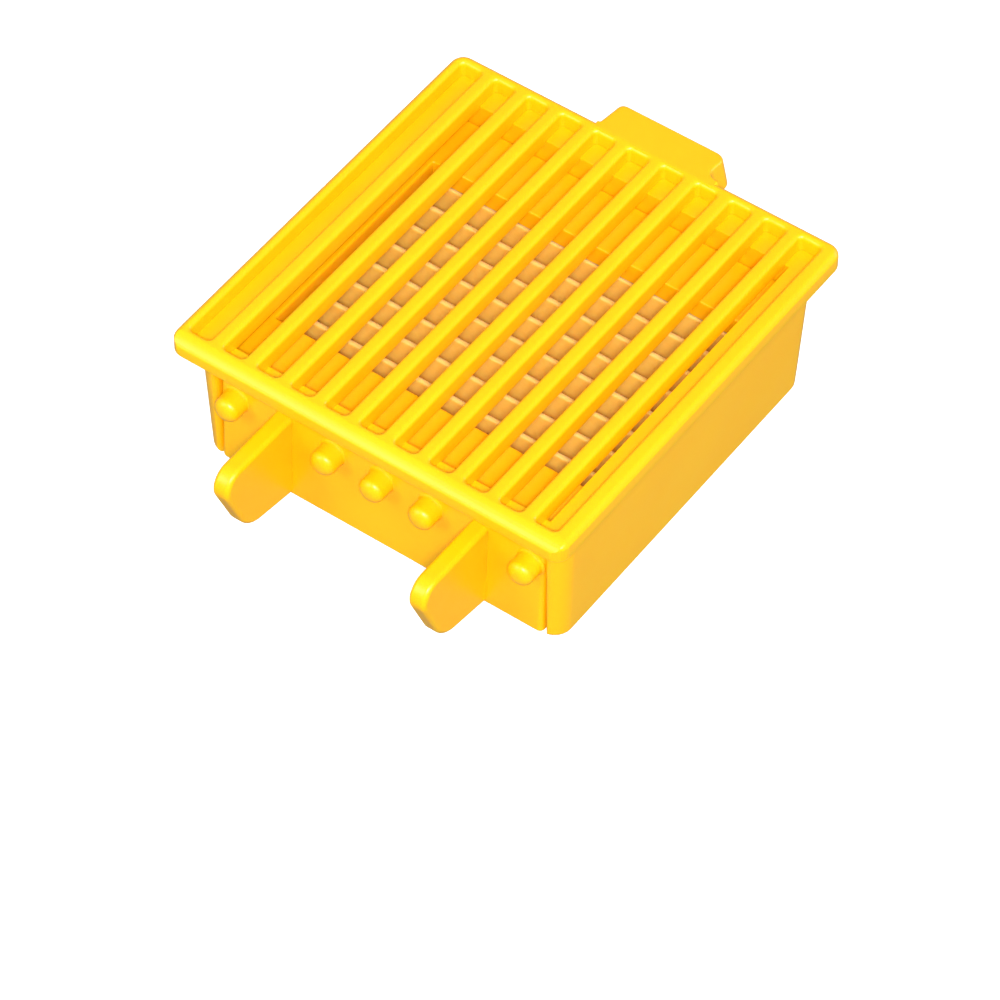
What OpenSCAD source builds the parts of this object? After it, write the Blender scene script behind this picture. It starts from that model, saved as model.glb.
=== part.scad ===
// Slotted cartridge: an open-bottomed housing with a slotted cover, and a
// pull-out insert that carries a pleated sheet behind a window.
// +Z is up, the front panel with the two finger tabs faces -Y, and the origin
// is at the middle of the overall box, on the surface the housing stands on.

/* [Flange and slots] */
// Width of the flange, left to right
flange_w = 64.8; // [64:0.2:72]
// Depth of the flange, front to back
flange_d = 66.6; // [66:0.2:74]
// Thickness of the flange of the cover
cover_t = 2.6; // [1.6:0.1:3]
// Thickness of the flange of the housing under it
housing_flange_t = 0.6; // [0.6:0.1:1.6]
// Corner radius of the flange in plan
flange_r = 2.1; // [1:0.1:4]
// Number of slots
slot_count = 11; // [3:2:11]
// Distance from one slot to the next
slot_pitch = 5.7; // [5:0.1:5.7]
// Width of one slot
slot_w = 3.5; // [2:0.1:4]
// Length of one slot
slot_l = 62.2; // [40:0.2:62.6]
// Corner radius of a slot
slot_r = 0.7; // [0.3:0.1:1]
// Sideways place of the slots on the flange
slots_x = -0.5; // [-0.8:0.1:0.8]
// Front-to-back place of the slots on the flange
slots_y = 0.5; // [-0.8:0.1:0.8]
// Depth of the bars between the slots, which hang into the housing
bar_depth = 3.1; // [2.7:0.1:3.1]

/* [Rear lug] */
// Width of the lug at its top
lug_w = 17.7; // [10:0.1:24]
// Sideways place of the lug
lug_x = 0.45; // [-1:0.05:1]
// How much wider the lug is on each side at its foot
lug_flare = 1; // [0:0.1:2]
// How far the lug stands out behind the flange
lug_out = 5.6; // [3:0.1:8]
// Height of the lug
lug_h = 5.4; // [4:0.1:8]
// Slope of the lug's top, in degrees
lug_slope = 11; // [0:1:20]
// Wall thickness of the hollow lug
lug_wall = 1.5; // [1:0.1:2]
// Thickness of the lug's top where it meets the flange
lug_top_t = 1.9; // [1:0.1:2.2]
// Corner radius of the lug in plan
lug_r = 1.4; // [0.5:0.1:3]

/* [Housing] */
// Overall height
total_h = 24.5; // [22:0.1:30]
// Width of the body just under the flange
body_w = 61.5; // [60.5:0.1:62.5]
// Gap from the front edge of the flange to the front of the body
body_inset_front = 3.3; // [2.6:0.1:3.6]
// Gap from the back edge of the flange to the back of the body
body_inset_back = 3.9; // [3:0.1:4.4]
// How far the side and back walls lean in from top to bottom
draft = 0.9; // [0.3:0.1:1]
// How far the front leans in from top to bottom
front_draft = 0.35; // [0:0.05:0.6]
// Corner radius of the body in plan
body_r = 2.7; // [1.5:0.1:4]
// Wall thickness
wall = 1.5; // [1.2:0.1:1.6]
// Distance between the two front posts
post_gap = 54.6; // [54.4:0.1:55]
// Depth of a front post, front to back
post_d = 3.4; // [2:0.1:4]
// Height of the floor rim and the bottom rail
floor_t = 1.5; // [1:0.1:2]
// Width of the opening in the floor
floor_open_w = 50.2; // [40:0.2:51]
// Depth of the opening in the floor
floor_open_d = 49.4; // [40:0.2:50]
// Width of the opening under the slots
top_open_w = 54; // [54:0.2:58]

/* [Insert] */
// Running clearance round the insert
gap = 0.3; // [0.2:0.05:0.4]
// Thickness of the insert's walls
insert_wall = 1; // [0.8:0.1:1.2]
// Depth of the insert's deck below the top of the flange
deck_depth = 6.05; // [5:0.05:8]
// Thickness of the deck
deck_t = 1.2; // [1:0.1:1.4]
// Width of the window in the deck
window_w = 52; // [40:0.5:52]
// Front edge of the window
window_y0 = -18; // [-18:0.1:-10]
// Back edge of the window
window_y1 = 18.2; // [10:0.1:18.2]
// Thickness of the front panel
panel_t = 1.6; // [1.2:0.1:1.8]
// How far the top of the front panel sits behind the front of the posts
panel_recess = 1.1; // [0.5:0.1:1.5]
// How far the front panel leans out from top to bottom, in degrees
panel_lean = 2.5; // [0:0.1:3]
// Height of the front panel's lower edge
panel_z = 0.25; // [0.2:0.05:1]
// Corner radius of the panel's front edges in plan
panel_r = 0.8; // [0.3:0.1:0.8]

/* [Finger tabs and pegs] */
// Distance between the places of the pegs and tabs along the panel
row_pitch = 8.15; // [7:0.05:8.2]
// Sideways place of the row on the panel
row_x = 0.2; // [-0.4:0.1:0.4]
// Thickness of a finger tab
tab_t = 2.8; // [1.6:0.1:3.2]
// Radius of the tab's upper nose
tab_nose_r = 3; // [1.5:0.1:3]
// Radius of the tab's lower nose
tab_heel_r = 4.8; // [3.5:0.1:5]
// Radius of a peg
peg_r = 1.95; // [1:0.05:2]
// Depth of the pegs' centres below the top of the flange
peg_depth = 11.4; // [9:0.1:14]
// Length of the straight part of a peg, before its domed end
peg_l = 2.3; // [0.5:0.1:2.5]
// Height of the dome on the end of a peg
peg_dome = 1; // [0.5:0.1:1.5]

/* [Pleated sheet] */
// Number of pleats
pleat_count = 8; // [4:1:8]
// Distance from one crest to the next
pleat_pitch = 4.45; // [3:0.05:4.45]
// Depth of the crests below the top of the flange
crest_depth = 9.15; // [8:0.05:11]
// Height of a pleat
pleat_h = 12; // [6:0.5:12.5]
// Thickness of the sheet, measured level
sheet_t = 0.5; // [0.3:0.1:0.8]
// Thickness of the sealing bead at each end of the pleats
bead_t = 0.8; // [0.5:0.1:1]

/* [Hidden] */
$fn = 48;
eps = 0.01;

// levels
cover_z = total_h - cover_t;
flange_z = cover_z - housing_flange_t;
deck_z = total_h - deck_depth;
crest_z = total_h - crest_depth;
valley_z = crest_z - pleat_h;
insert_z = floor_t + gap;
panel_top_z = flange_z - gap;
peg_z = total_h - peg_depth;

// fronts and backs, measured from the middle of the flange
flange_y0 = -flange_d / 2;
flange_y1 = flange_d / 2;
body_y0 = flange_y0 + body_inset_front;
body_y1 = flange_y1 - body_inset_back;
body_d = body_y1 - body_y0;
body_y = (body_y0 + body_y1) / 2;
panel_y0 = body_y0 + panel_recess;
panel_y1 = panel_y0 + panel_t;
post_y1 = body_y0 + post_d;
insert_y1 = body_y1 - wall - draft - gap;
deck_y1 = body_y1 - wall - draft * (1 - deck_z / flange_z) - gap;
insert_w = post_gap - 2 * gap;
box_w = insert_w - 0.1;

// housing rim, guide rails and floor
opening_y0 = body_y0 + 2;
opening_y1 = body_y1 - wall;
rail_y0 = panel_y1 + gap;
guide_t = 1.4;
guide_top_z = deck_z - guide_t;
guide_low_z = guide_top_z - 2.35;

// stop lugs on the insert, running between the guides
stop_l = 6;
stop_t = 1.5;
stop_w = body_w - 2 * wall - 2;
stop_z = guide_low_z + gap;
skirt_h = 4;

// front face of the leaning panel at a height
function panel_face(z) = panel_y0 - (panel_top_z - z) * tan(panel_lean);

// finger tab outline, as [front to back, height]
tab_nose = [body_y0 - 10.4, total_h - 12.2];
tab_heel = [body_y0 - 6, total_h - 18.1];
tab_root_z = 0.4;
tab_root_in = 0.5;
tab_shift = -0.15;
tab_places = [-2, 2];
peg_places = [-3, -1, 0, 1, 3];

// the whole thing is moved so that its overall box is centred on the origin
front_reach = -(tab_nose[0] - tab_nose_r);
back_reach = flange_y1 + lug_out;
centre_shift = (front_reach - back_reach) / 2;

// the direction from a circle's centre to where a line touches it and a second circle
function touch(c1, r1, c2, r2, side) =
    let (d = c2 - c1, a = atan2(d[1], d[0]) + side * acos((r1 - r2) / norm(d)))
    [cos(a), sin(a)];

module placed() {
    translate([0, centre_shift, 0]) children();
}

module along_x(width) {
    rotate([90, 0, 90]) linear_extrude(width, center = true) children();
}

module along_y(depth) {
    rotate([90, 0, 0]) linear_extrude(depth, center = true) children();
}

// a box given by its lowest and highest corners
module block(low, high) {
    translate(low) cube(high - low);
}

module mirrored_x() {
    children();
    mirror([1, 0, 0]) children();
}

module rounded_rect(w, d, r) {
    square([w - 2 * r, d], center = true);
    square([w, d - 2 * r], center = true);
    for (x = [-1, 1], y = [-1, 1])
        translate([x * (w / 2 - r), y * (d / 2 - r)]) circle(r);
}

// a block whose four walls lean in towards the bottom, with rounded corners
module drafted_block(w, d, h, r) {
    intersection() {
        linear_extrude(h) rounded_rect(w, d, r);
        along_y(d) polygon([[-w / 2 + draft, 0], [w / 2 - draft, 0], [w / 2, h], [-w / 2, h]]);
        along_x(w) polygon([[-d / 2 + front_draft, 0], [d / 2 - draft, 0], [d / 2, h], [-d / 2, h]]);
    }
}

module flange_outline() {
    rounded_rect(flange_w, flange_d, flange_r);
}

// the empty inside of the housing, above its floor
module housing_inside() {
    translate([0, body_y, 0])
        drafted_block(body_w - 2 * wall, body_d - 2 * wall, flange_z + eps, body_r - wall);
}

module guide_rail(z0, z1) {
    mirrored_x() block([post_gap / 2, post_y1 - eps, z0], [body_w / 2 - draft, body_y1 - wall, z1]);
}

module housing_shell() {
    difference() {
        union() {
            translate([0, body_y, 0]) drafted_block(body_w, body_d, flange_z + eps, body_r);
            translate([0, 0, flange_z]) linear_extrude(housing_flange_t) flange_outline();
        }
        // the room inside, cut back at the front so that the posts and the lintel stay
        intersection() {
            housing_inside();
            block([-body_w, post_y1, floor_t], [body_w, body_y1, flange_z]);
        }
        // the doorway between the posts
        block([-post_gap / 2, body_y0 - 1, floor_t], [post_gap / 2, post_y1 + eps, flange_z]);
        // the bottom rail stands back from the posts
        block([-post_gap / 2, body_y0 - 1, -1], [post_gap / 2, rail_y0, floor_t + eps]);
        // the opening under the slots
        block([-top_open_w / 2, opening_y0, flange_z - eps], [top_open_w / 2, opening_y1, cover_z + 1]);
        // the opening in the floor
        translate([0, body_y, -1]) linear_extrude(floor_t + 2) rounded_rect(floor_open_w, floor_open_d, 2);
    }
}

module housing() {
    color([0.99, 0.8, 0.13]) placed() {
        housing_shell();
        guide_rail(guide_top_z, deck_z);
        guide_rail(guide_low_z - guide_t, guide_low_z);
    }
}

module slots() {
    for (i = [0 : slot_count - 1])
        translate([slots_x + (i - (slot_count - 1) / 2) * slot_pitch, slots_y])
            rounded_rect(slot_w, slot_l, slot_r);
}

// the lug's outline seen from the side, from the flange's back edge outwards
module lug_side(top, bottom, back) {
    polygon([[0, bottom], [back, bottom], [back, top - back * tan(lug_slope)], [0, top]]);
}

// the part of the lug's outline that runs into the edge of the cover
module lug_root() {
    translate([-lug_wall, lug_h - cover_t]) square([2 * lug_wall, cover_t - lug_wall]);
    translate([-lug_wall, lug_h - lug_wall]) square([lug_wall, lug_wall]);
}

module rear_lug() {
    lug_foot_w = lug_w + 2 * lug_flare;
    translate([lug_x, flange_y1, total_h - lug_h]) intersection() {
        along_y(3 * lug_out)
            polygon([[-lug_foot_w / 2, 0], [lug_foot_w / 2, 0], [lug_w / 2, lug_h], [-lug_w / 2, lug_h]]);
        linear_extrude(lug_h) rounded_rect(lug_foot_w, 2 * lug_out, lug_r);
        union() {
            along_x(lug_foot_w) lug_root();
            difference() {
                along_x(lug_foot_w) lug_side(lug_h, 0, lug_out);
                // hollow underneath
                along_x(lug_w - 2 * lug_wall) lug_side(lug_h - lug_top_t, -1, lug_out - lug_wall);
            }
        }
    }
}

// the part of the cover that hangs into the opening of the housing
module grille_inset() {
    inset = 0.1;
    translate([-top_open_w / 2 + inset, opening_y0 + inset])
        square([top_open_w - 2 * inset, opening_y1 - opening_y0 - 2 * inset]);
}

module grille_cover() {
    color([0.98, 0.88, 0.26]) placed() {
        difference() {
            union() {
                translate([0, 0, cover_z]) linear_extrude(cover_t) flange_outline();
                translate([0, 0, total_h - bar_depth]) linear_extrude(bar_depth) grille_inset();
            }
            translate([0, 0, total_h - 2 * bar_depth]) linear_extrude(3 * bar_depth) slots();
        }
        rear_lug();
    }
}

module tab_outline() {
    front = touch(tab_nose, tab_nose_r, tab_heel, tab_heel_r, -1);
    root = [panel_face(tab_root_z) + tab_root_in, tab_root_z];
    under = touch(tab_heel, tab_heel_r, root, 0, -1);
    polygon([
        [panel_face(tab_nose[1] + tab_nose_r) + tab_root_in, tab_nose[1] + tab_nose_r],
        [tab_nose[0], tab_nose[1] + tab_nose_r],
        tab_nose,
        tab_nose + tab_nose_r * front,
        tab_heel + tab_heel_r * front,
        tab_heel,
        tab_heel + tab_heel_r * under,
        root,
    ]);
    translate(tab_nose) circle(tab_nose_r);
    translate(tab_heel) circle(tab_heel_r);
}

module finger_tab() {
    along_x(tab_t) tab_outline();
}

// a round peg with a shallow dome, its foot sunk into the leaning panel
module peg() {
    dome_r = (peg_r * peg_r + peg_dome * peg_dome) / (2 * peg_dome);
    foot = 0.3;
    translate([0, panel_face(peg_z) + foot, peg_z]) rotate([90, 0, 0]) intersection() {
        cylinder(h = foot + peg_l + 2 * peg_dome, r = peg_r);
        translate([0, 0, foot + peg_l + peg_dome - dome_r]) sphere(dome_r);
    }
}

module panel_outline() {
    translate([0, (panel_r + panel_t) / 2]) square([insert_w, panel_t - panel_r], center = true);
    translate([0, panel_r / 2]) square([insert_w - 2 * panel_r, panel_r], center = true);
    mirrored_x() translate([insert_w / 2 - panel_r, panel_r]) circle(panel_r);
}

module front_panel() {
    intersection() {
        block([-insert_w, 2 * body_y0, panel_z], [insert_w, 0, panel_top_z]);
        translate([0, panel_y0, panel_top_z]) rotate([-panel_lean, 0, 0])
            translate([0, 0, -total_h]) linear_extrude(total_h + 1) panel_outline();
    }
}

// the four walls that hold the sheet, with the deck round the window
module insert_box() {
    box_y0 = panel_y0 + panel_r - 0.1;
    difference() {
        union() {
            block([-box_w / 2, box_y0, deck_z - deck_t], [box_w / 2, deck_y1, deck_z]);
            mirrored_x() block([box_w / 2 - insert_wall, box_y0, insert_z], [box_w / 2, insert_y1, deck_z]);
            block([-box_w / 2, window_y0 - insert_wall, insert_z], [box_w / 2, window_y1 + insert_wall, deck_z]);
            block([-box_w / 2, insert_y1 - insert_wall, deck_z - skirt_h], [box_w / 2, insert_y1, deck_z]);
        }
        block([-window_w / 2, window_y0, insert_z - 1], [window_w / 2, window_y1, deck_z + 1]);
    }
}

module insert_frame() {
    color([0.99, 0.83, 0.16]) placed() {
        front_panel();
        insert_box();
        mirrored_x()
            block([box_w / 2 - eps, insert_y1 - stop_l, stop_z], [stop_w / 2, insert_y1, stop_z + stop_t]);
        for (i = tab_places) translate([row_x + tab_shift + i * row_pitch, 0, 0]) finger_tab();
        for (i = peg_places) translate([row_x + i * row_pitch, 0, 0]) peg();
    }
}

// outline of the pleated sheet: along the top from the front, and back underneath
function crest_y(i) = (window_y0 + window_y1) / 2 + (i - pleat_count / 2) * pleat_pitch;
function pleat_rise() = pleat_h * sheet_t / pleat_pitch;
function sheet_top() = [for (i = [0 : pleat_count]) each concat(
    [[crest_y(i) - sheet_t / 2, crest_z], [crest_y(i) + sheet_t / 2, crest_z]],
    i < pleat_count ? [[crest_y(i) + pleat_pitch / 2, valley_z + pleat_rise()]] : []
)];
function sheet_under() = [for (i = [pleat_count : -1 : 0]) each concat(
    [[crest_y(i), crest_z - pleat_rise()]],
    i > 0 ? [[crest_y(i) - pleat_pitch / 2 + sheet_t / 2, valley_z],
        [crest_y(i) - pleat_pitch / 2 - sheet_t / 2, valley_z]] : []
)];

module pleated_sheet() {
    color([0.96, 0.93, 0.86]) placed()
        along_x(window_w - 2 * bead_t) polygon(concat(sheet_top(), sheet_under()));
}

module seal_bead_side(side) {
    x = side * (window_w - bead_t) / 2;
    color([0.93, 0.78, 0.45]) placed()
        block([x - bead_t / 2, window_y0, valley_z], [x + bead_t / 2, window_y1, crest_z - 0.6]);
}

module seal_bead_left() {
    seal_bead_side(-1);
}

module seal_bead_right() {
    seal_bead_side(1);
}

// a wedge of sealant between the end pleat and the pocket wall
module seal_bead_end(wall_y, side) {
    depth = 3.4;
    reach = 0.65;
    color([0.93, 0.78, 0.45]) placed()
        along_x(window_w - 2 * bead_t) polygon([
            [wall_y, crest_z - 0.3],
            [wall_y, crest_z - depth],
            [wall_y - side * reach, crest_z - depth],
        ]);
}

module seal_bead_front() {
    seal_bead_end(window_y0, -1);
}

module seal_bead_rear() {
    seal_bead_end(window_y1, 1);
}

housing();
grille_cover();
insert_frame();
pleated_sheet();
seal_bead_left();
seal_bead_right();
seal_bead_front();
seal_bead_rear();
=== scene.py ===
import math
import random

import bmesh
import bpy
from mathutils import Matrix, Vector


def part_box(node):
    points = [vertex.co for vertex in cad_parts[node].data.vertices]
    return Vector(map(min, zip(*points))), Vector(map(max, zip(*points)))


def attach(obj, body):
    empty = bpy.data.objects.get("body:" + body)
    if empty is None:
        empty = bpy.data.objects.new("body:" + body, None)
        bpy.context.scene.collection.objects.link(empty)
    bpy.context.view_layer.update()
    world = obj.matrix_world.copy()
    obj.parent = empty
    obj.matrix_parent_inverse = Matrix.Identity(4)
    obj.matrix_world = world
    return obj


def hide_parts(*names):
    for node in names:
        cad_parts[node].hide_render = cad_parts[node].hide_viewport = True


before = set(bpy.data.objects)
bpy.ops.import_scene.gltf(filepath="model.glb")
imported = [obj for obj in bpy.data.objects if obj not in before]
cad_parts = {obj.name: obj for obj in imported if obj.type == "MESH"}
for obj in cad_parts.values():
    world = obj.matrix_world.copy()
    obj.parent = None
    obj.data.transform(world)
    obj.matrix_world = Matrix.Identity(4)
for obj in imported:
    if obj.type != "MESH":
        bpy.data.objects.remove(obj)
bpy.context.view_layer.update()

# Lengths are in millimetres up to the point where a mesh is made.
MM = 0.001


def box_mm(node):
    """A CAD node's lowest and highest corners, in millimetres."""
    low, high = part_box(node)
    return Vector(low) / MM, Vector(high) / MM


HOUSING_LOW, HOUSING_HIGH = box_mm("housing")
COVER_LOW, COVER_HIGH = box_mm("grille_cover")
INSERT_LOW, INSERT_HIGH = box_mm("insert_frame")
SHEET_LOW, SHEET_HIGH = box_mm("pleated_sheet")
BEAD_LEFT_LOW, BEAD_LEFT_HIGH = box_mm("seal_bead_left")

# Flange and slots
TOP = COVER_HIGH.z
JOINT_Z = HOUSING_HIGH.z
FLANGE_W = HOUSING_HIGH.x - HOUSING_LOW.x
FLANGE_Y = (HOUSING_LOW.y + HOUSING_HIGH.y) / 2
FLANGE_R = 2.1
HOUSING_FLANGE_T = 0.6
SLOT_COUNT = 11
SLOT_PITCH = 5.7
SLOT_W = 3.5
SLOT_L = 62.2
SLOT_R = 0.7
SLOTS_X = -0.5
BAR_DEPTH = 3.1
SLOTS_Y = FLANGE_Y + 0.5
# the left rim is only just wide enough for both of these roundings
FLANGE_ROUND = 0.9
SLOT_ROUND = 0.7
SLOT_ROUND_LOW = 0.15
BEVEL_DEPTH = 1.8
BEVEL_DROP = 1.4
# a flatness over 1 turns a rounded edge towards a chamfer
FLANGE_FLATNESS = 1.3
BEVEL_FLATNESS = 1.45

# Rear lug
LUG_W = 17.7
LUG_X = 0.45
LUG_FLARE = 1.0
LUG_SLOPE = math.tan(math.radians(11))
LUG_WALL = 1.5
LUG_ROOT_IN = 1.4
LUG_FILLET_LEFT, LUG_FILLET_RIGHT = 0.4, 2.2
LUG_CORNER_LEFT, LUG_CORNER_RIGHT = 0.9, 1.7
LUG_ROUND_LOW, LUG_ROUND_HIGH = 0.3, 0.4
LUG_HOLLOW_TOP = JOINT_Z + 0.4

# Housing
BODY_W = 61.5
BODY_Y0 = HOUSING_LOW.y + 3.3
BODY_Y1 = HOUSING_HIGH.y - 3.9
DRAFT = 0.9
FRONT_DRAFT = 0.35
BODY_R = 2.7
BODY_FOOT_ROUND = 0.9
WALL = 1.5
POST_GAP = 54.6
POST_ROUND = 0.9
POST_Y1 = BODY_Y0 + 3.4
FLOOR_T = 1.5
FLOOR_OPEN_W = 50.2
FLOOR_OPEN_D = 49.4
FLOOR_OPEN_R = 2
OPENING_W = 54
OPENING_Y0 = BODY_Y0 + 2
OPENING_Y1 = BODY_Y1 - WALL
OPENING_FIT = 0.1
UNDER_FLANGE = JOINT_Z - HOUSING_FLANGE_T
UNDER_FLANGE_ROUND = 0.35
SEAM_ROUND = 0.04

# Insert
GAP = 0.3
INSERT_WALL = 1.0
DECK_Z = TOP - 6.05
DECK_T = 1.2
INSERT_Z = FLOOR_T + GAP
INSERT_W = POST_GAP - 2 * GAP
BOX_W = INSERT_W - 0.1
INSERT_Y1 = BODY_Y1 - WALL - DRAFT - GAP
DECK_Y1 = INSERT_HIGH.y
WINDOW_W = 52
WINDOW_R = 0.3
PANEL_Y0 = BODY_Y0 + 1.1
PANEL_T = 1.6
PANEL_R = 0.78
PANEL_ROUND = 0.45
PANEL_LEAN = math.tan(math.radians(2.5))
PANEL_LOW = INSERT_LOW.z
PANEL_TOP = UNDER_FLANGE - GAP
BOX_Y0 = PANEL_Y0 + 0.7
GUIDE_T = 1.4
GUIDE_TOP_Z = DECK_Z - GUIDE_T
GUIDE_LOW_Z = GUIDE_TOP_Z - 2.35
STOP_W = 56.5
STOP_L = 6
STOP_T = 1.5
STOP_Z = GUIDE_LOW_Z + GAP
SKIRT_H = 4

# Finger tabs and pegs
ROW_PITCH = 8.15
ROW_X = 0.2
TAB_T = 2.8
TAB_SHIFT = -0.15
TAB_NOSE = (BODY_Y0 - 10.4, TOP - 12.2)
TAB_NOSE_R = 3.0
TAB_HEEL = (BODY_Y0 - 6, TOP - 18.1)
TAB_HEEL_R = 4.8
TAB_ROOT_Z = 0.4
TAB_ROUND = 0.7
TAB_NOSE_STEPS, TAB_HEEL_STEPS = 14, 12
PEG_R = 1.95
PEG_Z = TOP - 11.4
PEG_L = 3.3
PEG_DOME = 1.2
PEG_SIDES = 40
PEG_DOME_STEPS = 8
TAB_STEPS = (-2, 2)
PEG_STEPS = (-3, -1, 0, 1, 3)

# Pleated sheet
PLEAT_COUNT = 8
PLEAT_PITCH = 4.45
SHEET_T = 0.42
FOLD_R = 0.28
FOLD_SPREAD = 78
FOLD_STEPS = 4
SHEET_STEPS = 56
SHEET_MIDDLE = (SHEET_LOW.y + SHEET_HIGH.y) / 2
LAST_FOLD = 2 * PLEAT_COUNT

# Seal beads
BEAD_STEPS = 40
BEAD_CORNER = 0.12
WEDGE_STEPS = 5

QUARTER_STEPS = 6

scene = bpy.context.scene


# Camera -------------------------------------------------------------------------------------

def make_camera():
    """A long lens from the front right, aimed below the middle of the slots as the picture is framed."""
    azimuth, elevation = math.radians(35.75), math.radians(47.5)
    distance = 736
    aim_left, aim_down = 0.97, 28.77
    back = Vector((
        math.sin(azimuth) * math.cos(elevation),
        -math.cos(azimuth) * math.cos(elevation),
        math.sin(elevation),
    ))
    look = (-back).to_track_quat("-Z", "Y").to_matrix()
    right, up = look.col[0], look.col[1]
    aim = -back * distance - right * aim_left - up * aim_down
    data = bpy.data.cameras.new("camera")
    data.sensor_width = 36
    data.lens = 196
    data.clip_start = 0.05
    data.clip_end = 20
    camera = bpy.data.objects.new("camera", data)
    camera.location = (Vector((SLOTS_X, SLOTS_Y, TOP)) + back * distance) * MM
    camera.rotation_mode = "QUATERNION"
    camera.rotation_quaternion = aim.to_track_quat("-Z", "Y")
    scene.collection.objects.link(camera)
    scene.camera = camera


make_camera()


# Mesh helpers -------------------------------------------------------------------------------

def to_object(name, bm):
    """Turns a bmesh in millimetres into an object in metres."""
    bmesh.ops.scale(bm, vec=(MM, MM, MM), verts=bm.verts)
    bmesh.ops.recalc_face_normals(bm, faces=bm.faces)
    mesh = bpy.data.meshes.new(name)
    bm.to_mesh(mesh)
    bm.free()
    obj = bpy.data.objects.new(name, mesh)
    scene.collection.objects.link(obj)
    return obj


def arc(cx, cy, r, start, end, steps=QUARTER_STEPS):
    """Points along an arc, with the angles in degrees."""
    turns = [math.radians(start + (end - start) * i / steps) for i in range(steps + 1)]
    return [(cx + r * math.cos(t), cy + r * math.sin(t)) for t in turns]


def rounded_rect(x0, x1, y0, y1, r):
    """A rectangle's outline with round corners, anticlockwise."""
    r = max(r, 0.02)
    return (
        arc(x1 - r, y0 + r, r, -90, 0)
        + arc(x1 - r, y1 - r, r, 0, 90)
        + arc(x0 + r, y1 - r, r, 90, 180)
        + arc(x0 + r, y0 + r, r, 180, 270)
    )


def quarter_turn(flatness=1):
    """(cosine, sine) pairs round a quarter circle, or round a flatter curve between its ends."""
    turns = [math.pi / 2 * i / QUARTER_STEPS for i in range(QUARTER_STEPS + 1)]
    return [(abs(math.cos(t)) ** flatness, math.sin(t) ** flatness) for t in turns]


def edge_profile(z0, z1, round_low, round_high, flatness=1):
    """(inset, height) pairs up a wall whose lower and upper edges are rounded."""
    arcs = quarter_turn(flatness)
    low = [(round_low * (1 - s), z0 + round_low * (1 - c)) for c, s in arcs]
    high = [(round_high * (1 - c), z1 - round_high * (1 - s)) for c, s in arcs]
    return low + high


def add_ring(bm, points):
    return [bm.verts.new(p) for p in points]


def bridge(bm, ring_a, ring_b):
    count = len(ring_a)
    for i in range(count):
        j = (i + 1) % count
        bm.faces.new((ring_a[i], ring_a[j], ring_b[j], ring_b[i]))


def loft(name, rings):
    """A closed solid through rings of equal length, capped at both ends."""
    bm = bmesh.new()
    made = [add_ring(bm, ring) for ring in rings]
    for low, high in zip(made, made[1:]):
        bridge(bm, low, high)
    bm.faces.new(list(reversed(made[0])))
    bm.faces.new(made[-1])
    return to_object(name, bm)


def ring_edges(bm, ring):
    return [bm.edges.get((ring[i], ring[(i + 1) % len(ring)])) for i in range(len(ring))]


def plate(name, outer, holes, z0, z1, outer_rounds, hole_rounds):
    """A flat plate with rounded edges. outer and holes are (x0, x1, y0, y1, corner radius)."""
    bm = bmesh.new()
    low_edges, high_edges = [], []
    for shape, rounds, sign in [(outer, outer_rounds, 1)] + [(h, hole_rounds, -1) for h in holes]:
        x0, x1, y0, y1, r = shape
        rings = []
        for inset, z in edge_profile(z0, z1, *rounds, FLANGE_FLATNESS if sign > 0 else 1):
            s = sign * inset
            outline = rounded_rect(x0 + s, x1 - s, y0 + s, y1 - s, r - s)
            rings.append(add_ring(bm, [(x, y, z) for x, y in outline]))
        for low, high in zip(rings, rings[1:]):
            bridge(bm, low, high)
        low_edges += ring_edges(bm, rings[0])
        high_edges += ring_edges(bm, rings[-1])
    bmesh.ops.triangle_fill(bm, use_beauty=True, edges=low_edges, normal=(0, 0, -1))
    bmesh.ops.triangle_fill(bm, use_beauty=True, edges=high_edges, normal=(0, 0, 1))
    return to_object(name, bm)


def soft_box(name, low, high, r=0.2, steps=2):
    """A box given by two corners, with every edge rounded."""
    bm = bmesh.new()
    bmesh.ops.create_cube(bm, size=1)
    low, high = Vector(low), Vector(high)
    for v in bm.verts:
        v.co = Vector((low[i] if v.co[i] < 0 else high[i] for i in range(3)))
    if r > 0:
        bmesh.ops.bevel(bm, geom=bm.edges[:], offset=r, segments=steps, profile=0.5, affect="EDGES")
    return to_object(name, bm)


def combine(target, other, operation):
    """Adds, cuts or intersects another object, which is used up."""
    modifier = target.modifiers.new("combine", "BOOLEAN")
    modifier.operation = operation
    modifier.solver = "EXACT"
    modifier.object = other
    graph = bpy.context.evaluated_depsgraph_get()
    mesh = bpy.data.meshes.new_from_object(target.evaluated_get(graph))
    target.modifiers.clear()
    old = target.data
    target.data = mesh
    bpy.data.meshes.remove(old)
    old_other = other.data
    bpy.data.objects.remove(other)
    bpy.data.meshes.remove(old_other)


def add(target, other):
    combine(target, other, "UNION")


def cut(target, other):
    combine(target, other, "DIFFERENCE")


def finish_mesh(obj, angle=32):
    """Cleans the mesh, marks its sharp edges and shades the rest smooth."""
    bm = bmesh.new()
    bm.from_mesh(obj.data)
    bmesh.ops.remove_doubles(bm, verts=bm.verts, dist=0.002 * MM)
    bmesh.ops.dissolve_degenerate(bm, edges=bm.edges, dist=0.001 * MM)
    limit = math.radians(angle)
    for edge in bm.edges:
        edge.smooth = len(edge.link_faces) == 2 and edge.calc_face_angle(0) < limit
    for face in bm.faces:
        face.smooth = True
    bm.to_mesh(obj.data)
    bm.free()
    weighted = obj.modifiers.new("even_normals", "WEIGHTED_NORMAL")
    weighted.keep_sharp = True
    weighted.weight = 80


def place(obj, material, body, node):
    """Gives a piece its material and body, and hides the CAD node that it stands for."""
    obj.data.materials.clear()
    obj.data.materials.append(material)
    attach(obj, body)
    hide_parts(node)


# Materials ----------------------------------------------------------------------------------

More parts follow.
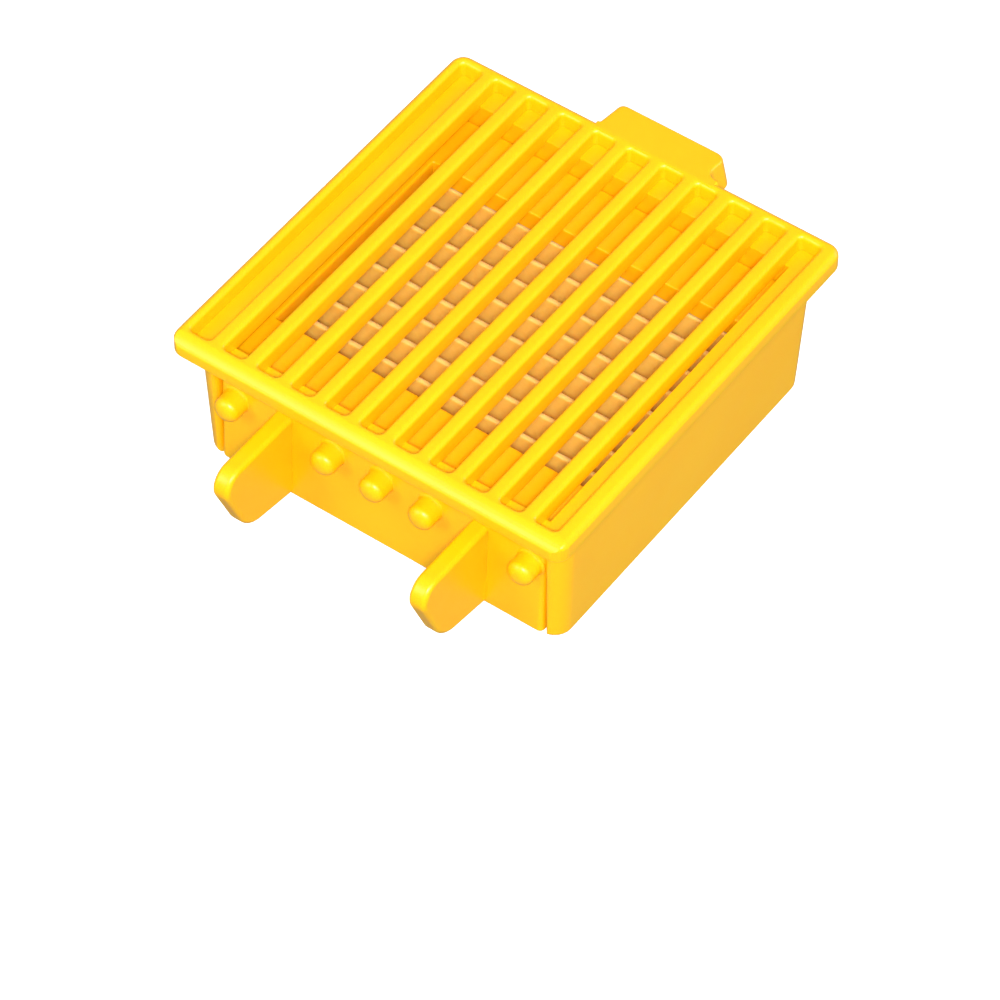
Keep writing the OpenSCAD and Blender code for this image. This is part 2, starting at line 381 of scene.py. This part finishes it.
def node_material(name):
    material = bpy.data.materials.new(name)
    material.use_nodes = True
    tree = material.node_tree
    return material, tree, tree.nodes["Principled BSDF"]


def noise(tree, scale, detail, roughness=0.5):
    coords = tree.nodes.new("ShaderNodeTexCoord")
    texture = tree.nodes.new("ShaderNodeTexNoise")
    texture.inputs["Scale"].default_value = scale
    texture.inputs["Detail"].default_value = detail
    texture.inputs["Roughness"].default_value = roughness
    tree.links.new(coords.outputs["Object"], texture.inputs["Vector"])
    return texture


def ramp(tree, source, low, high):
    """Maps a noise value onto the span between two colours."""
    node = tree.nodes.new("ShaderNodeValToRGB")
    node.color_ramp.elements[0].position = 0.3
    node.color_ramp.elements[0].color = (*low, 1)
    node.color_ramp.elements[1].position = 0.7
    node.color_ramp.elements[1].color = (*high, 1)
    tree.links.new(source, node.inputs["Fac"])
    return node


def moulded_plastic(name, low, high):
    """Glossy dyed plastic: slightly uneven colour, faint surface waviness and fine grain."""
    material, tree, shader = node_material(name)
    shader.inputs["IOR"].default_value = 1.49
    shader.inputs["Specular IOR Level"].default_value = 0.42
    shader.inputs["Subsurface Weight"].default_value = 0.35
    shader.inputs["Subsurface Radius"].default_value = (1.0, 0.55, 0.05)
    shader.inputs["Subsurface Scale"].default_value = 0.002
    colour = ramp(tree, noise(tree, 60, 3).outputs["Fac"], low, high)
    tree.links.new(colour.outputs["Color"], shader.inputs["Base Color"])
    gloss = tree.nodes.new("ShaderNodeMapRange")
    gloss.inputs["To Min"].default_value = 0.3
    gloss.inputs["To Max"].default_value = 0.4
    tree.links.new(noise(tree, 220, 4).outputs["Fac"], gloss.inputs["Value"])
    tree.links.new(gloss.outputs["Result"], shader.inputs["Roughness"])
    waves = tree.nodes.new("ShaderNodeBump")
    waves.inputs["Strength"].default_value = 0.25
    waves.inputs["Distance"].default_value = 0.00012
    tree.links.new(noise(tree, 130, 2).outputs["Fac"], waves.inputs["Height"])
    grain = tree.nodes.new("ShaderNodeBump")
    grain.inputs["Strength"].default_value = 0.12
    grain.inputs["Distance"].default_value = 0.00003
    tree.links.new(noise(tree, 2600, 3).outputs["Fac"], grain.inputs["Height"])
    tree.links.new(waves.outputs["Normal"], grain.inputs["Normal"])
    tree.links.new(grain.outputs["Normal"], shader.inputs["Normal"])
    return material


def filter_paper():
    """Matte paper with long fine fibres and a faintly blotchy colour. Its orange colour is painted shade
    and painted yellow bounce light on white paper, and its crests carry a painted highlight.
    """
    material, tree, shader = node_material("pleated_paper")
    shader.inputs["Roughness"].default_value = 0.85
    shader.inputs["Specular IOR Level"].default_value = 0.2
    shader.inputs["Sheen Weight"].default_value = 0.15
    shader.inputs["Subsurface Weight"].default_value = 0.6
    shader.inputs["Subsurface Radius"].default_value = (1, 0.8, 0.5)
    shader.inputs["Subsurface Scale"].default_value = 0.002
    # painted shade: the orange of both colours stands for shade and yellow bounce light on white paper
    # deep in the yellow housing; the noise between them is the paper's own uneven tone
    mottle_and_painted_shade = ramp(tree, noise(tree, 900, 6, 0.7).outputs["Fac"], (0.95, 0.47, 0.055), (0.98, 0.52, 0.08))
    # painted highlight: the lines below lighten the paper at the tops of the crests, where the folds catch
    # the light
    coords = tree.nodes.new("ShaderNodeTexCoord")
    height = tree.nodes.new("ShaderNodeSeparateXYZ")
    tree.links.new(coords.outputs["Object"], height.inputs["Vector"])
    fold = tree.nodes.new("ShaderNodeMapRange")
    fold.inputs["From Min"].default_value = (SHEET_HIGH.z - 0.3) * MM
    fold.inputs["From Max"].default_value = (SHEET_HIGH.z - 0.1) * MM
    tree.links.new(height.outputs["Z"], fold.inputs["Value"])
    painted_crest_highlight = tree.nodes.new("ShaderNodeMix")
    painted_crest_highlight.data_type = "RGBA"
    painted_crest_highlight.inputs["B"].default_value = (1, 0.6, 0.16, 1)
    tree.links.new(fold.outputs["Result"], painted_crest_highlight.inputs["Factor"])
    tree.links.new(mottle_and_painted_shade.outputs["Color"], painted_crest_highlight.inputs["A"])
    tree.links.new(painted_crest_highlight.outputs["Result"], shader.inputs["Base Color"])
    stretch = tree.nodes.new("ShaderNodeMapping")
    stretch.inputs["Scale"].default_value = (700, 3500, 3500)
    fibres = tree.nodes.new("ShaderNodeTexNoise")
    fibres.inputs["Scale"].default_value = 1
    fibres.inputs["Detail"].default_value = 5
    fibres.inputs["Distortion"].default_value = 1.2
    tree.links.new(coords.outputs["Object"], stretch.inputs["Vector"])
    tree.links.new(stretch.outputs["Vector"], fibres.inputs["Vector"])
    bump = tree.nodes.new("ShaderNodeBump")
    bump.inputs["Strength"].default_value = 0.5
    bump.inputs["Distance"].default_value = 0.00006
    tree.links.new(fibres.outputs["Fac"], bump.inputs["Height"])
    tree.links.new(bump.outputs["Normal"], shader.inputs["Normal"])
    return material


def cast_sealant():
    """Amber set sealant, satin, with a slightly lumpy surface."""
    material, tree, shader = node_material("sealant")
    shader.inputs["Roughness"].default_value = 0.45
    shader.inputs["Subsurface Weight"].default_value = 0.2
    shader.inputs["Subsurface Scale"].default_value = 0.001
    colour = ramp(tree, noise(tree, 300, 3).outputs["Fac"], (0.72, 0.5, 0.2), (0.84, 0.64, 0.32))
    tree.links.new(colour.outputs["Color"], shader.inputs["Base Color"])
    bump = tree.nodes.new("ShaderNodeBump")
    bump.inputs["Strength"].default_value = 0.5
    bump.inputs["Distance"].default_value = 0.0002
    tree.links.new(noise(tree, 700, 3).outputs["Fac"], bump.inputs["Height"])
    tree.links.new(bump.outputs["Normal"], shader.inputs["Normal"])
    return material


YELLOW = moulded_plastic("yellow_plastic", (0.98, 0.48, 0.001), (0.99, 0.51, 0.002))
# the paper's colour carries painted shade, painted bounce light and painted highlights on the crests
PAPER_WITH_PAINTED_LIGHT = filter_paper()
SEALANT = cast_sealant()


# Slotted cover ------------------------------------------------------------------------------

def slot_shapes():
    y0, y1 = SLOTS_Y - SLOT_L / 2, SLOTS_Y + SLOT_L / 2
    centres = [SLOTS_X + (i - (SLOT_COUNT - 1) / 2) * SLOT_PITCH for i in range(SLOT_COUNT)]
    return [(x - SLOT_W / 2, x + SLOT_W / 2, y0, y1, SLOT_R) for x in centres]


def flange_shape():
    return (-FLANGE_W / 2, FLANGE_W / 2, HOUSING_LOW.y, HOUSING_HIGH.y, FLANGE_R)


def lug_side(half_width, edge, back, foot_r, corner_r):
    """One side of the lug in plan, from a fillet at the edge of the flange to its round far corner."""
    return (
        [(half_width + foot_r, edge - LUG_ROOT_IN)]
        + list(reversed(arc(half_width + foot_r, edge + foot_r, foot_r, 180, 270)))
        + arc(half_width - corner_r, back - corner_r, corner_r, 0, 90)
    )


def rear_lug():
    edge, back = HOUSING_HIGH.y, COVER_HIGH.y
    low_z, high_z = COVER_LOW.z, TOP
    rings = []
    for inset, z in edge_profile(low_z, high_z, LUG_ROUND_LOW, LUG_ROUND_HIGH):
        t = (z - low_z) / (high_z - low_z)
        half = LUG_W / 2 + LUG_FLARE * (1 - t) - inset
        right = lug_side(half, edge, back - inset, LUG_FILLET_RIGHT, LUG_CORNER_RIGHT)
        left = lug_side(half, edge, back - inset, LUG_FILLET_LEFT, LUG_CORNER_LEFT)
        outline = right + [(-x, y) for x, y in reversed(left)]
        rings.append([(x + LUG_X, y, z - t * max(y - edge, 0) * LUG_SLOPE) for x, y in outline])
    lug = loft("lug", rings)
    # it hangs behind the flange of the housing, and is hollow underneath
    cut(lug, soft_box("step", (-LUG_W, edge - 2 * LUG_ROOT_IN, low_z - 1), (LUG_W, edge, JOINT_Z), 0))
    half = LUG_W / 2 - LUG_WALL
    low, high = (LUG_X - half, edge - 0.5, low_z - 1), (LUG_X + half, back - LUG_WALL, LUG_HOLLOW_TOP)
    cut(lug, soft_box("hollow", low, high, 0.3))
    return lug


def opening_under_slots(inset, z0, z1):
    """The opening in the housing that the bars hang into."""
    low = (-OPENING_W / 2 + inset, OPENING_Y0 + inset, z0)
    return soft_box("opening", low, (OPENING_W / 2 - inset, OPENING_Y1 - inset, z1), 0)


def front_bevel():
    """What the wide soft bevel takes off the flange's front edge."""
    front = HOUSING_LOW.y
    turns = quarter_turn(BEVEL_FLATNESS)
    curve = [(front + BEVEL_DEPTH * (1 - c), TOP - BEVEL_DROP * (1 - s)) for c, s in turns]
    outline = [(front - 1, TOP + 1), (front - 1, TOP - BEVEL_DROP), *curve, (front + BEVEL_DEPTH, TOP + 1)]
    return loft("bevel", [[(x, y, z) for y, z in outline] for x in (-FLANGE_W, FLANGE_W)])


def make_cover():
    cover = plate(
        "slotted_cover", flange_shape(), slot_shapes(), TOP - BAR_DEPTH, TOP,
        (0, FLANGE_ROUND), (SLOT_ROUND_LOW, SLOT_ROUND),
    )
    # outside the opening the cover ends where it sits on the housing
    low, high = (-FLANGE_W, 2 * HOUSING_LOW.y, 0), (FLANGE_W, 2 * HOUSING_HIGH.y, JOINT_Z)
    seat = soft_box("seat", low, high, 0)
    cut(seat, opening_under_slots(OPENING_FIT, -1, TOP))
    cut(cover, seat)
    cut(cover, front_bevel())
    add(cover, rear_lug())
    finish_mesh(cover)
    place(cover, YELLOW, "cartridge_body", "grille_cover")


# Housing ------------------------------------------------------------------------------------

def lean(z, draft=DRAFT):
    """How far a wall has leaned in at a height."""
    return draft * (1 - z / UNDER_FLANGE)


def body_ring(z, inset, r):
    s = lean(z) + inset
    front = BODY_Y0 + lean(z, FRONT_DRAFT) + inset
    outline = rounded_rect(-BODY_W / 2 + s, BODY_W / 2 - s, front, BODY_Y1 - s, r)
    return [(x, y, z) for x, y in outline]


def outer_body():
    top = UNDER_FLANGE + HOUSING_FLANGE_T / 2
    profile = edge_profile(0, top, BODY_FOOT_ROUND, 0.01)
    return loft("body", [body_ring(z, inset, BODY_R) for inset, z in profile])


def room_inside():
    """The space that the insert runs in, behind the posts."""
    rings = []
    for z in (FLOOR_T, UNDER_FLANGE):
        s = lean(z) + WALL
        outline = rounded_rect(-BODY_W / 2 + s, BODY_W / 2 - s, POST_Y1, BODY_Y1 - s, BODY_R - WALL)
        rings.append([(x, y, z) for x, y in outline])
    return loft("room", rings)


def doorway():
    """The gap between the posts, whose front edges are round and follow the lean of the wall."""
    half, r = POST_GAP / 2, POST_ROUND
    rings = []
    for z in (-1, UNDER_FLANGE):
        face = BODY_Y0 + lean(z, FRONT_DRAFT)
        right = [(half, POST_Y1 + 0.5)] + arc(half + r, face + r, r, 180, 270) + [(half + r, face - 1)]
        outline = [(-x, y) for x, y in reversed(right)] + right
        rings.append([(x, y, z) for x, y in outline])
    return loft("doorway", rings)


def guide_rails(shell):
    for side in (-1, 1):
        x0, x1 = sorted((side * POST_GAP / 2, side * (BODY_W / 2 - DRAFT)))
        for z0, z1 in ((GUIDE_TOP_Z, DECK_Z), (GUIDE_LOW_Z - GUIDE_T, GUIDE_LOW_Z)):
            add(shell, soft_box("guide", (x0, POST_Y1 - 0.5, z0), (x1, BODY_Y1 - WALL + 0.2, z1), 0.2))


def make_housing():
    shell = outer_body()
    rounds = (UNDER_FLANGE_ROUND, SEAM_ROUND)
    add(shell, plate("flange", flange_shape(), [], UNDER_FLANGE, JOINT_Z, rounds, (0, 0)))
    cut(shell, room_inside())
    cut(shell, doorway())
    cut(shell, opening_under_slots(0, UNDER_FLANGE - 0.05, JOINT_Z + 1))
    middle = (BODY_Y0 + BODY_Y1) / 2
    open_y0, open_y1 = middle - FLOOR_OPEN_D / 2, middle + FLOOR_OPEN_D / 2
    rail_low = (-POST_GAP / 2 - 0.5, PANEL_Y0 + PANEL_T + GAP, 0)
    add(shell, soft_box("rail", rail_low, (POST_GAP / 2 + 0.5, open_y0 + 1, FLOOR_T), 0.3))
    outline = rounded_rect(-FLOOR_OPEN_W / 2, FLOOR_OPEN_W / 2, open_y0, open_y1, FLOOR_OPEN_R)
    cut(shell, loft("floor_opening", [[(x, y, z) for x, y in outline] for z in (-1, FLOOR_T + 1)]))
    guide_rails(shell)
    shell.name = "housing_shell"
    finish_mesh(shell)
    place(shell, YELLOW, "cartridge_body", "housing")


# Insert -------------------------------------------------------------------------------------

def touch(c1, r1, c2, r2):
    """Direction from a circle's centre to where a line touches both circles, on their lower front side."""
    across, up = c2[0] - c1[0], c2[1] - c1[1]
    angle = math.atan2(up, across) - math.acos((r1 - r2) / math.hypot(across, up))
    return math.degrees(angle)


def panel_face(z):
    """The front face of the leaning panel at a height."""
    return PANEL_Y0 - (PANEL_TOP - z) * PANEL_LEAN


def facing_arc(centre, r, start, end, steps):
    """Points along an arc, each with the direction in degrees that it faces."""
    turns = [start + (end - start) * i / steps for i in range(steps + 1)]
    return list(zip(arc(*centre, r, start, end, steps), turns))


def tab_outline():
    """The tab from the side, as points of (front to back, height) with the direction that each faces."""
    front = touch(TAB_NOSE, TAB_NOSE_R, TAB_HEEL, TAB_HEEL_R) % 360
    root = (panel_face(TAB_ROOT_Z) + 0.5, TAB_ROOT_Z)
    under = touch(TAB_HEEL, TAB_HEEL_R, root, 0) % 360
    tab_top = TAB_NOSE[1] + TAB_NOSE_R
    points = [((panel_face(tab_top) + 0.9, tab_top), 90)]
    points += facing_arc(TAB_NOSE, TAB_NOSE_R, 90, front, TAB_NOSE_STEPS)
    points += facing_arc(TAB_HEEL, TAB_HEEL_R, front, under, TAB_HEEL_STEPS)
    points += [(root, under)]
    return points


def finger_tab(x):
    """A plate standing out from the panel, with its edge rounded over."""
    rings = []
    for inset, across in edge_profile(-TAB_T / 2, TAB_T / 2, TAB_ROUND, TAB_ROUND):
        ring = []
        for (y, z), facing in tab_outline():
            turn = math.radians(facing)
            ring.append((x + across, y - inset * math.cos(turn), z - inset * math.sin(turn)))
        rings.append(ring)
    return loft("tab", rings)


def peg(x):
    """A round peg with a domed end and a small fillet at its foot."""
    straight = PEG_L - PEG_DOME
    face = panel_face(PEG_Z)
    # (radius, distance out from the panel, which is negative) from the root to the end
    foot = [(PEG_R + 0.4, 0.3), (PEG_R + 0.4, 0.05), (PEG_R + 0.12, -0.12), (PEG_R, -0.4)]
    profile = foot + [(PEG_R, -straight)]
    for i in range(1, PEG_DOME_STEPS):
        t = math.pi / 2 * i / PEG_DOME_STEPS
        profile.append((PEG_R * math.cos(t) ** 0.8, -straight - PEG_DOME * math.sin(t)))
    turns = [math.tau * i / PEG_SIDES for i in range(PEG_SIDES)]
    rings = [
        [(x + r * math.cos(t), face + out, PEG_Z + r * math.sin(t)) for t in turns]
        for r, out in profile
    ]
    return loft("peg", rings)


def front_panel():
    rings = []
    for inset, z in edge_profile(PANEL_LOW, PANEL_TOP, PANEL_ROUND, PANEL_ROUND):
        half = INSERT_W / 2 - inset
        face = panel_face(z)
        right = arc(half - PANEL_R, face + PANEL_R + inset, PANEL_R, -90, 0) + [(half, face + PANEL_T)]
        outline = right + [(-x, y) for x, y in reversed(right)]
        rings.append([(x, y, z) for x, y in outline])
    return loft("panel", rings)


def add_deck_and_pocket(insert):
    """The deck, the four walls of the pocket under it, and the window through both."""
    half = BOX_W / 2
    window_y0, window_y1 = BEAD_LEFT_LOW.y, BEAD_LEFT_HIGH.y
    window = (-WINDOW_W / 2, WINDOW_W / 2, window_y0, window_y1, WINDOW_R)
    deck = (-half + 0.01, half - 0.01, BOX_Y0, DECK_Y1, WINDOW_R)
    add(insert, plate("deck", deck, [window], DECK_Z - DECK_T, DECK_Z, (0.1, 0.2), (0.05, 0.25)))
    pocket = (-half + 0.02, half - 0.02, window_y0 - INSERT_WALL, window_y1 + INSERT_WALL, WINDOW_R)
    add(insert, plate("pocket", pocket, [window], INSERT_Z, DECK_Z - 0.3, (0.2, 0.02), (0.2, 0)))


def add_side(insert, side):
    """One long side wall and the stop lug that stands out from it."""
    half = BOX_W / 2
    x0, x1 = sorted((side * (half - INSERT_WALL), side * (half - 0.02)))
    low, high = (x0, BOX_Y0 + 0.05, INSERT_Z), (x1, INSERT_Y1 - 0.01, DECK_Z - 0.2)
    add(insert, soft_box("side", low, high, 0.15))
    x0, x1 = sorted((side * (half - 0.4), side * STOP_W / 2))
    low, high = (x0, INSERT_Y1 - STOP_L, STOP_Z), (x1, INSERT_Y1 - 0.2, STOP_Z + STOP_T)
    add(insert, soft_box("stop", low, high, 0.2))


def make_insert():
    # the blocks end a hair apart, because faces that coincide are hard to join
    insert = front_panel()
    add_deck_and_pocket(insert)
    for side in (-1, 1):
        add_side(insert, side)
    half = BOX_W / 2 - 0.05
    low = (-half, INSERT_Y1 - INSERT_WALL, DECK_Z - SKIRT_H)
    add(insert, soft_box("skirt", low, (half, INSERT_Y1 - 0.02, DECK_Z - 0.2), 0.15))
    for step in TAB_STEPS:
        add(insert, finger_tab(ROW_X + TAB_SHIFT + step * ROW_PITCH))
    for step in PEG_STEPS:
        add(insert, peg(ROW_X + step * ROW_PITCH))
    insert.name = "insert_moulding"
    finish_mesh(insert)
    place(insert, YELLOW, "insert", "insert_frame")


# Pleated sheet ------------------------------------------------------------------------------

def pleat_line():
    """The middle of the sheet from the front crest to the back one, with rounded folds."""
    crest = SHEET_HIGH.z - SHEET_T / 2
    valley = SHEET_LOW.z + SHEET_T / 2
    points = []
    for fold in range(LAST_FOLD + 1):
        y = SHEET_MIDDLE + (fold - PLEAT_COUNT) * PLEAT_PITCH / 2
        sign = 1 if fold % 2 == 0 else -1
        centre = (crest if sign > 0 else valley) - sign * FOLD_R
        for step in range(FOLD_STEPS + 1):
            turn = math.radians(-FOLD_SPREAD + 2 * FOLD_SPREAD * step / FOLD_STEPS)
            points.append((y + FOLD_R * math.sin(turn), centre + sign * FOLD_R * math.cos(turn)))
    # the sheet starts and ends on top of its end crests
    return points[FOLD_STEPS // 2:-(FOLD_STEPS // 2)]


def across_line(line):
    """The direction across the sheet at each point of a line of points."""
    normals = []
    for before, after in zip(line[:1] + line[:-1], line[1:] + line[-1:]):
        along = Vector((after[0] - before[0], after[1] - before[1])).normalized()
        normals.append(Vector((-along.y, along.x)))
    return normals


def fold_sway(x, y, fade, phases):
    """How far a fold has wandered. The two end folds stay straight."""
    fold = int(round((y - SHEET_MIDDLE) / (PLEAT_PITCH / 2))) + PLEAT_COUNT
    if fold in (0, LAST_FOLD):
        return 0
    phase = phases[fold]
    return 0.07 * fade * (math.sin(x * 0.23 + phase) + 0.5 * math.sin(x * 0.61 + 2 * phase))


def make_sheet():
    """A thin folded sheet whose folds wander a little along their length."""
    rng = random.Random(7)
    line = pleat_line()
    normals = across_line(line)
    half = (SHEET_HIGH.x - SHEET_LOW.x) / 2
    phases = [rng.uniform(0, math.tau) for _ in range(LAST_FOLD + 1)]
    bm = bmesh.new()
    rings = []
    for step in range(SHEET_STEPS + 1):
        x = -half + 2 * half * step / SHEET_STEPS
        fade = math.sin(math.pi * step / SHEET_STEPS)
        upper, under = [], []
        for (y, z), normal in zip(line, normals):
            sway = fold_sway(x, y, fade, phases)
            offset = normal * (SHEET_T / 2)
            upper.append((x, y + sway + offset.x, z + offset.y))
            under.append((x, y + sway - offset.x, z - offset.y))
        rings.append(add_ring(bm, upper + under[::-1]))
    for low, high in zip(rings, rings[1:]):
        bridge(bm, low, high)
    count = len(line)
    for ring in (rings[0], rings[-1]):
        for i in range(count - 1):
            bm.faces.new((ring[i], ring[i + 1], ring[2 * count - 2 - i], ring[2 * count - 1 - i]))
    sheet = to_object("folded_sheet", bm)
    finish_mesh(sheet, 60)
    place(sheet, PAPER_WITH_PAINTED_LIGHT, "insert", "pleated_sheet")


# Seal beads ---------------------------------------------------------------------------------

def make_side_bead(name, node):
    """A slab of sealant over the ends of the pleats, with a slightly uneven top."""
    low, high = box_mm(node)
    rng = random.Random(node)
    rings = []
    for step in range(BEAD_STEPS + 1):
        y = low.y + (high.y - low.y) * step / BEAD_STEPS
        top = high.z - 0.15 - 0.15 * math.sin(y * 0.9) - rng.uniform(0, 0.1)
        outline = [
            (low.x, low.z), (high.x, low.z), (high.x, top - BEAD_CORNER),
            (high.x - BEAD_CORNER, top), (low.x + BEAD_CORNER, top), (low.x, top - BEAD_CORNER),
        ]
        rings.append([(x, y, z) for x, z in outline])
    bead = loft(name, rings)
    finish_mesh(bead, 50)
    place(bead, SEALANT, "insert", node)


def make_end_bead(name, node, side):
    """A wedge of sealant with a hollow face, between the end pleat and the wall of its pocket."""
    low, high = box_mm(node)
    wall_y, far_y = (low.y, high.y) if side < 0 else (high.y, low.y)
    rings = []
    for step in range(BEAD_STEPS + 1):
        x = low.x + (high.x - low.x) * step / BEAD_STEPS
        reach = (far_y - wall_y) * (0.9 + 0.08 * math.sin(x * 0.7))
        outline = [(wall_y, high.z)]
        for i in range(1, WEDGE_STEPS + 1):
            t = i / WEDGE_STEPS
            outline.append((wall_y + reach * t ** 1.3, high.z - (high.z - low.z) * t))
        outline.append((wall_y, low.z))
        rings.append([(x, y, z) for y, z in outline])
    bead = loft(name, rings)
    finish_mesh(bead, 50)
    place(bead, SEALANT, "insert", node)


make_cover()
make_housing()
make_insert()
make_sheet()
make_side_bead("sealant_left", "seal_bead_left")
make_side_bead("sealant_right", "seal_bead_right")
make_end_bead("sealant_front", "seal_bead_front", -1)
make_end_bead("sealant_rear", "seal_bead_rear", 1)


# Floor and light ----------------------------------------------------------------------------

def make_floor():
    bm = bmesh.new()
    bmesh.ops.create_grid(bm, x_segments=1, y_segments=1, size=3)
    mesh = bpy.data.meshes.new("floor")
    bm.to_mesh(mesh)
    bm.free()
    floor = bpy.data.objects.new("floor", mesh)
    scene.collection.objects.link(floor)
    material, tree, shader = node_material("pale_floor")
    shader.inputs["Base Color"].default_value = (0.95, 0.95, 0.95, 1)
    shader.inputs["Roughness"].default_value = 0.9
    shader.inputs["Specular IOR Level"].default_value = 0.1
    shader.inputs["Emission Color"].default_value = (1, 1, 1, 1)
    shader.inputs["Emission Strength"].default_value = 0.4
    floor.data.materials.append(material)
    # the object was photographed clear of any bright floor, so this one throws no light onto it
    floor.visible_diffuse = False
    floor.visible_glossy = False


def soft_light(name, place_at, size, power, target=(0, 0, 0.01)):
    data = bpy.data.lights.new(name, "AREA")
    data.shape = "RECTANGLE"
    data.size, data.size_y = size
    data.energy = power
    light = bpy.data.objects.new(name, data)
    light.location = place_at
    light.rotation_mode = "QUATERNION"
    light.rotation_quaternion = (Vector(target) - Vector(place_at)).to_track_quat("-Z", "Y")
    scene.collection.objects.link(light)


def make_world():
    world = bpy.data.worlds.new("studio")
    world.use_nodes = True
    background = world.node_tree.nodes["Background"]
    background.inputs["Color"].default_value = (1, 1, 1, 1)
    background.inputs["Strength"].default_value = 0.3
    scene.world = world


make_floor()
make_world()
soft_light("key", (-0.42, -0.74, 0.52), (0.3, 0.5), 3)
soft_light("front_fill", (0.47, -0.66, 0.88), (0.16, 0.16), 16.3)
soft_light("side_fill", (0.79, -0.29, 0.71), (0.5, 0.5), 5)
soft_light("back_fill", (0.5, 0.9, 0.2), (0.5, 0.4), 2.4)
scene.view_settings.view_transform = "Standard"
